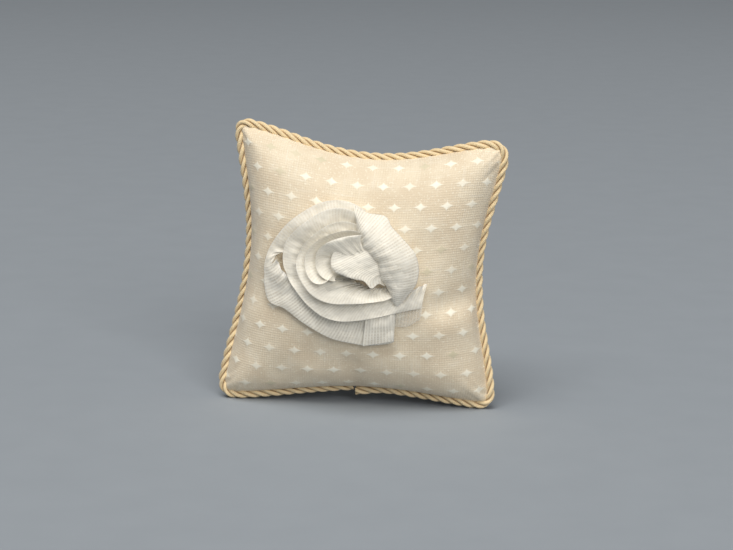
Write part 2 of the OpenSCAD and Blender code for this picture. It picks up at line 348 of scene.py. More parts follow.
def motif_nodes(n, u, v):
    """As nodes: 1 in a satin diamond and 0 on the ground, and 1 where the diamond is painted in
    shade.
    """
    row = n.math("DIVIDE", n.math("SUBTRACT", v, MOTIF_FIRST[1] - MOTIF_ROW / 2), MOTIF_ROW)
    odd = n.math("MODULO", n.math("FLOOR", row), 2.0)
    shift = n.math("MULTIPLY_ADD", odd, 0.5, 0.5 - MOTIF_FIRST[0] / MOTIF_PITCH)
    leaned = n.math("MULTIPLY_ADD", v, MOTIF_LEAN, u)
    column = n.math("ADD", n.math("DIVIDE", leaned, MOTIF_PITCH), shift)
    across = n.math("SUBTRACT", n.math("FRACT", column), 0.5)
    up = n.math("SUBTRACT", n.math("FRACT", row), 0.5)

    def reach(part, share):
        size = n.math("DIVIDE", n.math("ABSOLUTE", part), share / 2)
        return n.math("POWER", size, MOTIF_POINTED)

    spread = n.math(
        "ADD", reach(across, MOTIF_WIDE / MOTIF_PITCH), reach(up, MOTIF_HIGH / MOTIF_ROW)
    )
    place = n.node(
        "ShaderNodeCombineXYZ", {0: n.math("FLOOR", column), 1: n.math("FLOOR", row)}
    ).outputs[0]
    chance = n.node("ShaderNodeTexWhiteNoise", {"Vector": place}, noise_dimensions="2D").outputs[0]
    shaded_diamond = n.math("LESS_THAN", chance, SHADED_DIAMOND_SHARE)
    return n.math("SUBTRACT", 1.0, n.step(spread, *MOTIF_SOFT)), shaded_diamond


def motif_shape(uv):
    """The same diamonds for arrays of points, to raise them in the mesh."""
    row = (uv[..., 1] - MOTIF_FIRST[1]) / MOTIF_ROW + 0.5
    shift = 0.5 + 0.5 * (np.floor(row) % 2) - MOTIF_FIRST[0] / MOTIF_PITCH
    column = (uv[..., 0] + MOTIF_LEAN * uv[..., 1]) / MOTIF_PITCH + shift
    across = np.abs(column % 1 - 0.5) * 2 * MOTIF_PITCH / MOTIF_WIDE
    up = np.abs(row % 1 - 0.5) * 2 * MOTIF_ROW / MOTIF_HIGH
    spread = across ** MOTIF_POINTED + up ** MOTIF_POINTED
    top, foot = MOTIF_SLOPE
    return np.clip(foot - spread, 0, foot - top) / (foot - top)


def brocade_material():
    """Cream plain weave with slubs, and satin diamonds floated over it, with painted shade on some
    diamonds and on patches of them where their sheen would turn away.
    """
    n = Nodes("cream_brocade")
    uv, u, v = n.uv()
    weave = plain_weave(n, u, v, THREAD_PITCH)
    motif, shaded_diamond = motif_nodes(n, u, v)
    floats = n.ripple(v, THREAD_PITCH / 2)
    satin = n.mix(floats, rgb(1.0, 0.91, 0.73), rgb(1.0, 0.965, 0.83))
    # Some diamonds are painted dark olive: painted shade, as of satin whose sheen is turned away
    # from the light.
    satin = n.tint(satin, shaded_diamond, 0.85, rgb(0.63, 0.55, 0.36))
    # Patches where the diamonds fade towards the ground in colour, relief and roughness; the darker
    # colour there is painted shade, where the satin's sheen would turn away.
    diamond_fade_and_shade = n.step(n.noise(uv, 0.45, 1.0), 0.35, 0.6)
    motif = n.math("MULTIPLY", motif, n.math("MULTIPLY_ADD", diamond_fade_and_shade, 0.35, 0.65))
    height = n.blend(motif, weave, n.math("MULTIPLY_ADD", floats, 0.25, 0.9))
    rough = n.blend(motif, n.math("MULTIPLY_ADD", weave, -0.1, 0.85), 0.55)
    return n.set(
        Base_Color=n.mix(motif, brocade_ground(n, uv, weave), satin),
        Roughness=rough,
        Sheen_Weight=0.25,
        Sheen_Roughness=0.5,
        Normal=n.bump(height, WEAVE_DEPTH),
    )


def brocade_ground(n, uv, weave):
    """Colour between the diamonds: open weave with slubs, darker patches and small glints."""
    slubs = [
        n.noise(n.node("ShaderNodeMapping", {"Vector": uv, "Scale": scale}).outputs[0], 1.0, 2.0)
        for scale in ((SLUB_ALONG, SLUB_ACROSS, 1.0), (SLUB_ACROSS, SLUB_ALONG, 1.0))
    ]
    slub = n.step(n.math("MAXIMUM", *slubs), 0.55, 0.75)
    patch = n.step(n.noise(uv, 0.2, 3.0), 0.4, 0.65)
    glint = n.step(n.noise(uv, 3.6, 1.0), 0.58, 0.72)
    open_weave = n.step(n.noise(uv, 0.6, 3.0), 0.35, 0.65)
    hole = n.mix(open_weave, rgb(0.84, 0.72, 0.535), rgb(0.73, 0.605, 0.43))
    ground = n.mix(weave, hole, rgb(0.87, 0.75, 0.56))
    ground = n.tint(ground, slub, 0.4, rgb(0.91, 0.84, 0.71))
    ground = n.tint(ground, patch, 0.75, rgb(0.75, 0.61, 0.43))
    ground = n.tint(ground, n.noise(uv, 5.0, 2.0), 0.3, rgb(0.70, 0.60, 0.46))
    return n.tint(ground, glint, 0.6, rgb(0.97, 0.89, 0.72))


def cord_material():
    """Straw rayon: fine lengthwise fibres, painted lighter on their crests as highlights, with
    painted shade down in the grooves between the plies.
    """
    n = Nodes("straw_cord")
    _, u, v = n.uv()
    leaned = n.math("MULTIPLY_ADD", u, FIBRE_LEAN, v)
    stretched = n.node("ShaderNodeCombineXYZ", {0: n.math("MULTIPLY", u, 0.9), 1: leaned})
    fibres = n.noise(stretched.outputs[0], 9.0, 3.0, 0.65)
    strands = n.ripple(leaned, STRAND_PITCH)
    height = n.math("ADD", n.math("MULTIPLY", fibres, 0.7), n.math("MULTIPLY", strands, 0.5))
    # Colour follows the relief: the fibres vary in tone at random, and the crests of the strands
    # are painted lighter as highlights.
    fibre_tone_and_highlight = n.mix(n.step(height, 0.25, 0.8), rgb(0.85, 0.61, 0.31), rgb(0.98, 0.80, 0.50))
    # Where a ply turns in towards the others it is painted dark brown, as shade in the groove.
    groove_shade = n.step(n.math("ABSOLUTE", v), GROOVE_SHADE[0] * PLY_R, GROOVE_SHADE[1] * PLY_R)
    return n.set(
        Base_Color=n.mix(groove_shade, fibre_tone_and_highlight, rgb(0.46, 0.26, 0.09)),
        Roughness=0.5,
        Sheen_Weight=0.3,
        Normal=n.bump(height, CORD_DEPTH),
    )


def ribbon_material(name, grid, veil):
    """Sheer white ribbon, denser and whiter along its fold and edges, the fold's white partly a
    painted highlight. Grid is how much more opaque its threads are than the holes between them, and
    veil is an opacity that is added everywhere."""
    n = Nodes(name)
    uv, u, v = n.uv()
    along, across = n.ripple(v, RIBBON_PITCH), n.ripple(u, RIBBON_PITCH)
    drift = n.noise(uv, 0.7, 3.0)
    open_grid = n.step(n.noise(uv, 0.45, 2.0), 0.3, 0.65)
    thin = n.math("MULTIPLY", n.step(along, 0.1, 0.8), 0.6)
    threads = n.math("MAXIMUM", thin, n.step(across, 0.1, 0.7))
    cover = n.math("MAXIMUM", threads, n.math("MULTIPLY_ADD", open_grid, -0.65, 0.8))
    edge_gap = n.math("ABSOLUTE", n.math("SUBTRACT", v, RIBBON_WIDTH / 2))
    # The fold is made denser, as the doubled cloth is, and painted whiter as a highlight along the
    # rim.
    fold = n.math("SUBTRACT", 1.0, n.step(edge_gap, FOLD_BAND / 10, FOLD_BAND))
    inward = RIBBON_WIDTH / 2 - SELVEDGE
    selvedge = n.step(edge_gap, inward, inward + SELVEDGE / 3)
    density_and_fold_highlight = n.math("MAXIMUM", fold, n.math("MULTIPLY", selvedge, SELVEDGE_COVER))
    sheer = n.math("MULTIPLY_ADD", drift, 0.6, n.math("MULTIPLY_ADD", cover, grid, veil))
    height = n.math("MAXIMUM", along, across)
    net = n.mix(cover, rgb(0.99, 0.915, 0.775), rgb(1.0, 0.955, 0.845))
    return n.set(
        Base_Color=n.mix(density_and_fold_highlight, net, rgb(1.0, 0.975, 0.92)),
        Alpha=n.math("MAXIMUM", sheer, n.math("MULTIPLY", density_and_fold_highlight, 0.92)),
        Roughness=0.6,
        Sheen_Weight=0.7,
        Normal=n.bump(height, NET_DEPTH * grid),
    )


def thread_material():
    """White sewing thread with the twist of its plies."""
    n = Nodes("white_thread")
    place = n.node("ShaderNodeTexCoord").outputs["Object"]
    parts = n.node("ShaderNodeSeparateXYZ", {0: place})
    lean = n.math("ADD", parts.outputs[0], n.math("ADD", parts.outputs[1], parts.outputs[2]))
    twist = n.ripple(lean, TWIST_PITCH * MM)
    fuzz = n.noise(place, 9000.0, 2.0)
    return n.set(
        Base_Color=n.mix(twist, rgb(0.66, 0.62, 0.53), rgb(0.88, 0.85, 0.77)),
        Roughness=n.math("MULTIPLY_ADD", fuzz, 0.2, 0.6),
        Sheen_Weight=0.2,
        Normal=n.bump(n.math("ADD", twist, fuzz), THREAD_DEPTH),
    )


def stuffing_material():
    """Loose white polyester fibre."""
    n = Nodes("polyester_fill")
    place = n.node("ShaderNodeTexCoord").outputs["Object"]
    tangle = n.noise(place, 2500.0, 6.0, 0.7)
    return n.set(
        Base_Color=n.mix(tangle, rgb(0.75, 0.75, 0.74), rgb(0.93, 0.93, 0.92)),
        Roughness=0.9,
        Sheen_Weight=0.4,
        Normal=n.bump(tangle, TANGLE_DEPTH),
    )


# ---------------------------------------------------------------- stuffed pillow

PANEL_GRID = 80
PANEL_INSET = 0.42 / BOTTOM_SIDE
EVENING_ROUNDS = 3
# The cloth is simulated enlarged, and none of its points may move further than the cap, in mm.
SIM_SCALE = 60
SIM_FRAMES = 20
SIM_CAP = 1.4
# Grid steps over which the unevenness and the raised diamonds fade out at the seam.
LUMP_FADE, RELIEF_FADE = 10, 6
# Height of the seam allowance's near side over the mid-plane, and the least room inside.
SEAM_GAP, LEAST_ROOM = 0.03, 0.06
# How far the stuffing lies inside the cloth, and how far it stays from the seam allowance.
FILL_INSET, FILL_CLEAR = 0.25, 0.6


def loft(u, v):
    """Half of the thickness at (u, v), as in the CAD."""
    return THICKNESS / 2 * np.maximum(16 * u * (1 - u) * v * (1 - v), 0) ** FULLNESS


def start_shape(side):
    """A panel's face before it is simulated. Side is -1 in front and 1 at the back."""
    u, v = grid_uv(PANEL_GRID)
    flat = SEAM.inside(*grid_uv(PANEL_GRID, PANEL_INSET))
    face = np.stack([flat[..., 0], MID_Y + side * loft(u, v), flat[..., 1]], axis=-1)
    for _ in range(EVENING_ROUNDS):
        face = even_rows(even_rows(face).swapaxes(0, 1)).swapaxes(0, 1)
    return face


def even_rows(grid):
    """The same grid with the points of each row spaced evenly along it."""
    rows = [grid[0]]
    for row in grid[1:-1]:
        steps = np.linalg.norm(np.diff(row, axis=0), axis=1)
        run = np.concatenate([[0], np.cumsum(steps)])
        at = np.linspace(0, run[-1], len(row))
        rows.append(np.stack([np.interp(at, run, row[:, i]) for i in range(3)], axis=-1))
    return np.array(rows + [grid[-1]])


def cloth_uv():
    """Where each point of a panel lies on the flat cut cloth."""
    return CUT.inside(*grid_uv(PANEL_GRID))


def inflate(front, back):
    """The two panels blown up from the flat cloth with their seam held, by Blender's Cloth."""
    size = PANEL_GRID + 1
    front_index = np.arange(size * size).reshape(size, size)
    back_index = front_index.copy()
    back_index[1:-1, 1:-1] = size * size + np.arange((size - 2) ** 2).reshape(size - 2, size - 2)
    points = np.concatenate([front.reshape(-1, 3), back[1:-1, 1:-1].reshape(-1, 3)])
    flat = cloth_uv()
    flat = np.concatenate([flat.reshape(-1, 2), flat[1:-1, 1:-1].reshape(-1, 2)])
    faces = np.concatenate([
        grid_faces(size, size),
        back_index.ravel()[grid_faces(size, size, flip=True)],
    ])
    bag = make_mesh("sewn_bag", points * SIM_SCALE, faces)
    seam_group = bag.vertex_groups.new(name="seam")
    seam_group.add([int(i) for i in rim_of(front_index)], 1.0, "REPLACE")
    bag.shape_key_add(name="sewn")
    cut = bag.shape_key_add(name="cut")
    flat_3d = np.stack([flat[:, 0], np.zeros(len(flat)), flat[:, 1]], axis=-1)
    cut.data.foreach_set("co", (flat_3d * SIM_SCALE * MM).ravel())
    cloth = bag.modifiers.new("cloth", "CLOTH")
    set_cloth(cloth.settings, cut)
    cloth.point_cache.frame_end = SIM_FRAMES
    for step in range(1, SIM_FRAMES + 1):
        bpy.context.scene.frame_set(step)
    shaped = bag.evaluated_get(bpy.context.evaluated_depsgraph_get()).data
    found = np.empty(len(points) * 3)
    shaped.vertices.foreach_get("co", found)
    found = found.reshape(-1, 3) / (SIM_SCALE * MM)
    bpy.data.objects.remove(bag)
    bpy.context.scene.frame_set(1)
    moved = found - points
    far = np.linalg.norm(moved, axis=1, keepdims=True)
    found = points + moved * np.minimum(1, SIM_CAP / np.maximum(far, 1e-9))
    return found[front_index], found[back_index]


def set_cloth(settings, cut):
    """Light cloth that stretches little, under the push of its stuffing, with its seam held."""
    settings.quality = 5
    settings.mass = 0.3
    settings.tension_stiffness = 15
    settings.compression_stiffness = 15
    settings.shear_stiffness = 5
    settings.bending_stiffness = 0.5
    settings.air_damping = 1
    settings.use_pressure = True
    settings.uniform_pressure_force = 3
    settings.vertex_group_mass = "seam"
    settings.rest_shape_key = cut
    settings.effector_weights.gravity = 0


# Hollows and swellings of the stuffing, each along a line from (x, z) to (x, z), with its
# reach to either side and how far the cloth stands out or sinks there.
LUMPS = (
    ((16.6, 15.0), (10.5, 13.6), 1.6, -0.55),
    ((14.0, 10.8), (9.5, 11.2), 2.6, 0.4),
    ((12.0, 19.5), (12.5, 23.0), 3.0, 0.25),
    ((8.0, 27.0), (8.5, 27.5), 5.0, 0.25),
    ((-0.6, 1.5), (-0.4, 6.0), 1.5, -0.5),
    ((4.0, 4.0), (9.0, 5.0), 3.0, 0.25),
    ((-9.0, 5.0), (-7.0, 7.0), 4.5, -0.3),
    ((-11.0, 26.5), (-10.0, 27.5), 4.5, 0.25),
    ((-2.0, 29.0), (0.0, 29.0), 3.0, -0.15),
)
TUFT_SCALE = 0.22
TUFT_SIZE = 0.3


def lump(face, side):
    """A panel's face with the unevenness of its stuffing, fading out at the seam."""
    xz = face[..., [0, 2]] * (-side, 1)
    depth = np.zeros(face.shape[:2])
    for start, end, reach, size in LUMPS:
        start, along = np.array(start), np.subtract(end, start)
        share = np.clip((xz - start) @ along / (along @ along), 0, 1)
        away = np.linalg.norm(xz - start - share[..., None] * along, axis=-1)
        depth += size * np.exp(-(away / reach) ** 2)
    tufts = [noise.noise(Vector(p) * TUFT_SCALE) for p in face.reshape(-1, 3)]
    depth += TUFT_SIZE * np.array(tufts).reshape(depth.shape)
    face = face.copy()
    face[..., 1] += side * depth * smooth_edge(len(face), LUMP_FADE)
    return face


def build_panel(name, node, grid, side, material):
    """One panel as closed cloth: its face, its inside, and the seam allowance turned in.
    Returns the points of its face."""
    face = lump(refine(grid), side)
    uv = refine(cloth_uv())
    out = grid_normals(face) * (1 if side < 0 else -1)
    size = len(face)
    relief = MOTIF_RAISED * motif_shape(uv) * smooth_edge(size, RELIEF_FADE)
    outer = face + out * relief[..., None]
    inner = face - out * FABRIC
    room = np.maximum(side * (inner[..., 1] - MID_Y), FABRIC + LEAST_ROOM)
    inner[..., 1] = MID_Y + side * room
    index = np.arange(size * size).reshape(size, size)
    margin = ALLOWANCE / BOTTOM_SIDE
    allowance = SEAM.inside(*grid_uv(size - 1, margin))
    edge_uv = rim_of_points(uv)
    edge = rim_of_points(allowance)
    rings = [
        np.stack([edge[:, 0], np.full(len(edge), MID_Y + side * level), edge[:, 1]], axis=-1)
        for level in (SEAM_GAP, SEAM_GAP + FABRIC)
    ]
    points = np.concatenate([outer.reshape(-1, 3), inner.reshape(-1, 3)] + rings)
    uvs = np.concatenate([uv.reshape(-1, 2)] * 2 + [edge_uv] * 2)
    rim = rim_of(index)
    near = 2 * size * size + np.arange(len(rim))
    far = near + len(rim)
    faces = np.concatenate([
        grid_faces(size, size),
        grid_faces(size, size, size * size, flip=True),
        band_faces(rim, near),
        band_faces(near, far),
        band_faces(far, rim + size * size),
    ])
    if side > 0:
        faces = faces[:, ::-1]
    panel = make_mesh(name, points, faces, uvs)
    finish_piece(panel, material, node)
    return outer


def rim_of_points(grid):
    """The edge points of a grid, in the order of rim_of."""
    size = grid.shape[0]
    rim = rim_of(np.arange(size * size).reshape(size, size))
    return grid.reshape(-1, grid.shape[-1])[rim]


def smooth_edge(size, steps):
    """1 over a panel, falling to 0 at its seam over a number of grid steps."""
    line = np.minimum(np.arange(size), size - 1 - np.arange(size)) / steps
    line = np.clip(line, 0, 1)
    line = line * line * (3 - 2 * line)
    return np.minimum.outer(line, line)


def build_fill(front, back, material):
    """The stuffing: a lumpy solid just inside both panels, clear of the seam allowance."""
    skip = round(2 * PANEL_GRID * (ALLOWANCE + FILL_CLEAR) / BOTTOM_SIDE)
    skin = []
    for grid, side in ((front, -1), (back, 1)):
        out = grid_normals(grid) * (1 if side < 0 else -1)
        inner = grid - out * (FABRIC + FILL_INSET)
        skin.append(inner[skip:-skip:2, skip:-skip:2])
    size = skin[0].shape[0]
    index = np.arange(size * size).reshape(size, size)
    rim = rim_of(index)
    faces = np.concatenate([
        grid_faces(size, size),
        grid_faces(size, size, size * size, flip=True),
        band_faces(rim, rim + size * size),
    ])
    fill = make_mesh("fiberfill_batting", np.concatenate([s.reshape(-1, 3) for s in skin]), faces)
    finish_piece(fill, material, "fiberfill")


# ---------------------------------------------------------------- twisted trim cord

PLIES = 3
PLY_R = 0.26
PLY_OUT = 0.29
LAY_LENGTH = 4.3
CORD_RING = 0.17
PLY_SIDES = 14
SEAM_STEPS = 1600
# Each ply swells a little by turns: by how much, how fast, and how far the next ply lags.
SWELL, SWELL_RATE, SWELL_LAG = 0.06, 0.9, 2.1
# At the join the right end droops below the left one, which is tucked in behind the panels.
JOIN_REACH = 2.2
JOIN_DROOP = 0.4
JOIN_TUCK = 0.6


def even_route(points, spacing):
    """Points spaced evenly along a line of points, and how far along it each one is."""
    steps = np.linalg.norm(np.diff(points, axis=0), axis=1)
    run = np.concatenate([[0], np.cumsum(steps)])
    count = round(run[-1] / spacing)
    at = np.linspace(0, run[-1], count + 1)
    return np.stack([np.interp(at, run, points[:, i]) for i in range(points.shape[1])], axis=-1), at


def cord_route():
    """The cord's centreline, all round the seam from one side of the join to the other."""
    gap = CORD_GAP / 2 / BOTTOM_SIDE
    flat = SEAM.loop(CORD_JOIN + np.linspace(gap, 4 - gap, SEAM_STEPS))
    route, at = even_route(flat, CORD_RING)
    near_start = np.exp(-(at / JOIN_REACH) ** 2)
    near_end = np.exp(-((at[-1] - at) / JOIN_REACH) ** 2)
    depth = MID_Y + JOIN_TUCK * near_end
    return np.stack([route[:, 0], depth, route[:, 1] - JOIN_DROOP * near_start], axis=-1), at


def build_cord(material):
    """Three plies laid up along the route. A ply's UV has v = 0 where it faces outward."""
    route, at = cord_route()
    ahead = np.gradient(route, axis=0)
    ahead /= np.linalg.norm(ahead, axis=1, keepdims=True)
    away = np.cross(ahead, (0, -1, 0))
    deep = np.cross(ahead, away)

    def turned(angle):
        return away[:, None] * np.cos(angle)[..., None] + deep[:, None] * np.sin(angle)[..., None]

    around = 2 * np.pi * np.arange(PLY_SIDES + 1) / PLY_SIDES - np.pi
    points, faces, uvs = [], [], []
    for ply in range(PLIES):
        lay = 2 * np.pi * (ply / PLIES + at / LAY_LENGTH)
        swell = PLY_R * (1 + SWELL * np.sin(at * SWELL_RATE + ply * SWELL_LAG))
        middle = route[:, None] + PLY_OUT * turned(lay[:, None])
        tube = middle + turned(lay[:, None] + around) * swell[:, None, None]
        grid = np.stack(np.broadcast_arrays(at[:, None], around[None] * PLY_R), axis=-1)
        index = sum(len(p) for p in points) + np.arange(tube[..., 0].size).reshape(tube.shape[:2])
        quads = np.stack([index[:-1, :-1], index[:-1, 1:], index[1:, 1:], index[1:, :-1]], axis=-1)
        faces += quads.reshape(-1, 4).tolist() + [index[0, :0:-1].tolist(), index[-1, 1:].tolist()]
        points.append(tube.reshape(-1, 3))
        uvs.append(grid.reshape(-1, 2))
    cord = make_mesh("twisted_cord", np.concatenate(points), faces, np.concatenate(uvs))
    finish_piece(cord, material, "trim_cord")


# ---------------------------------------------------------------- ribbon rosette

# A ribbon has its fold in the middle of its width, and its rows run from the hem to the fold.
RIBBON_WIDTH = 10.0
RIBBON_STEP = 0.2
RIBBON_ROWS = 14
RIBBON_CLEAR = 0.08
CURVE_STEPS = 40
FAR_IN_FRONT = -50
LAYER_GAP = 0.2
PLEAT_PITCH = 1.3
PLEAT_SIZE = 0.4
PLEAT_WANDER, WANDER_SCALE = 3, 0.7
# Share of the gap between the two layers that is left at the hem.
HEM_OPEN = 0.3
# Scale and size of the dents in the ribbon, large ones and small ones.
CRUMPLES = ((0.45, 0.4), (1.5, 0.14))


class Face:
    """The front panel's face, to lay the ribbon on."""

    def __init__(self, grid):
        faces = [tuple(int(i) for i in f) for f in grid_faces(*grid.shape[:2])]
        self.tree = BVHTree.FromPolygons([tuple(p) for p in grid.reshape(-1, 3)], faces)

    def y(self, x, z):
        hit = self.tree.ray_cast(Vector((x, FAR_IN_FRONT, z)), Vector((0, 1, 0)))[0]
        return hit.y if hit else MID_Y


def smooth_line(points, count):
    """A smooth curve through given points, at count + 1 even steps."""
    p = np.asarray(points, float)
    p = np.concatenate([2 * p[:1] - p[1:2], p, 2 * p[-1:] - p[-2:-1]])
    t = np.linspace(0, len(points) - 1, CURVE_STEPS * len(points))
    i = np.minimum(t.astype(int), len(points) - 2)
    f = (t - i)[:, None]
    a, b, c, d = p[i], p[i + 1], p[i + 2], p[i + 3]
    square, cube = 2 * a - 5 * b + 4 * c - d, 3 * b - a - 3 * c + d
    curve = 0.5 * (2 * b + (c - a) * f + square * f ** 2 + cube * f ** 3)
    steps = np.linalg.norm(np.diff(curve, axis=0), axis=1)
    run = np.concatenate([[0], np.cumsum(steps)])
    at = np.linspace(0, run[-1], count + 1)
    return np.stack([np.interp(at, run, curve[:, k]) for k in range(p.shape[1])], axis=-1), at


def across_ribbon(rim, middle, hem, w):
    """A smooth bend from the hem (w = 0) over the middle line (w = 0.5) to the rim (w = 1)."""
    return hem * (1 - w) * (1 - 2 * w) + middle * 4 * w * (1 - w) + rim * w * (2 * w - 1)


def crumple(points):
    """Soft dents, large and small, different at each place on the ribbon."""
    return sum(
        np.array([noise.noise(Vector(p) * scale) * size for p in points])
        for scale, size in CRUMPLES
    )


def build_petal(
    name, node, rim, middle, hem, face, ribbons,
    look="soft_ribbon", pleat=PLEAT_SIZE, gap=LAYER_GAP,
):
    """A length of folded ribbon laid over three lines of points (x, z, height over the panel).
    The fold runs along the rim and the two raw edges along the hem, which is gathered."""
    count = int(smooth_line(rim, 10)[1][-1] / RIBBON_STEP)
    rim, at = smooth_line(rim, count)
    middle, hem = smooth_line(middle, count)[0], smooth_line(hem, count)[0]
    w = np.sin(np.pi / 2 * np.linspace(0, 1, RIBBON_ROWS + 1))[None, :, None]
    skin = across_ribbon(rim[:, None], middle[:, None], hem[:, None], w)
    wander = np.array([noise.noise(Vector((x * WANDER_SCALE, len(name), 0))) for x in at])
    folds = np.sin(2 * np.pi * at / PLEAT_PITCH + PLEAT_WANDER * wander)
    pleats = pleat * (1 - w) ** 3 * folds[:, None, None]
    spread = gap / 2 * np.sqrt(np.maximum(1 - w * w, 0)) * np.minimum(1, 4 * w + HEM_OPEN)
    layers = []
    for side in (1, -1):
        layer = skin.copy()
        layer[..., 2:] += side * spread + pleats
        # The offset gives each layer dents of its own, which fade out towards the fold.
        dents = crumple(layer.reshape(-1, 3) + (0, 0, 3 * side))
        layer[..., 2] += dents.reshape(layer.shape[:2]) * (1 - w[..., 0] ** 6)
        layers.append(layer)
    sheet = np.concatenate([layers[0], layers[1][:, -2::-1]], axis=1)
    sheet[..., 2] = np.maximum(sheet[..., 2], RIBBON_CLEAR)
    lay_ribbon(name, node, sheet, at, face, ribbons[look])


def lay_ribbon(name, node, sheet, at, face, material):
    """Turns a grid of (x, z, height over the panel) into a ribbon, with UVs in its flat size."""
    points = np.array([[(x, face.y(x, z) - h, z) for x, z, h in row] for row in sheet])
    across = np.linspace(0, RIBBON_WIDTH, sheet.shape[1])
    uv = np.stack(np.broadcast_arrays(at[:, None], across[None]), axis=-1)
    petal = make_mesh(
        name, points.reshape(-1, 3), grid_faces(*sheet.shape[:2]), uv.reshape(-1, 2)
    )
    finish_piece(petal, material, node)


# For each look of the ribbon, the grid and the veil of its material.
RIBBON_LOOKS = {
    "open_ribbon": (0.3, 0.18),
    "soft_ribbon": (0.1, 0.34),
    "thin_ribbon": (0.12, -0.1),
}
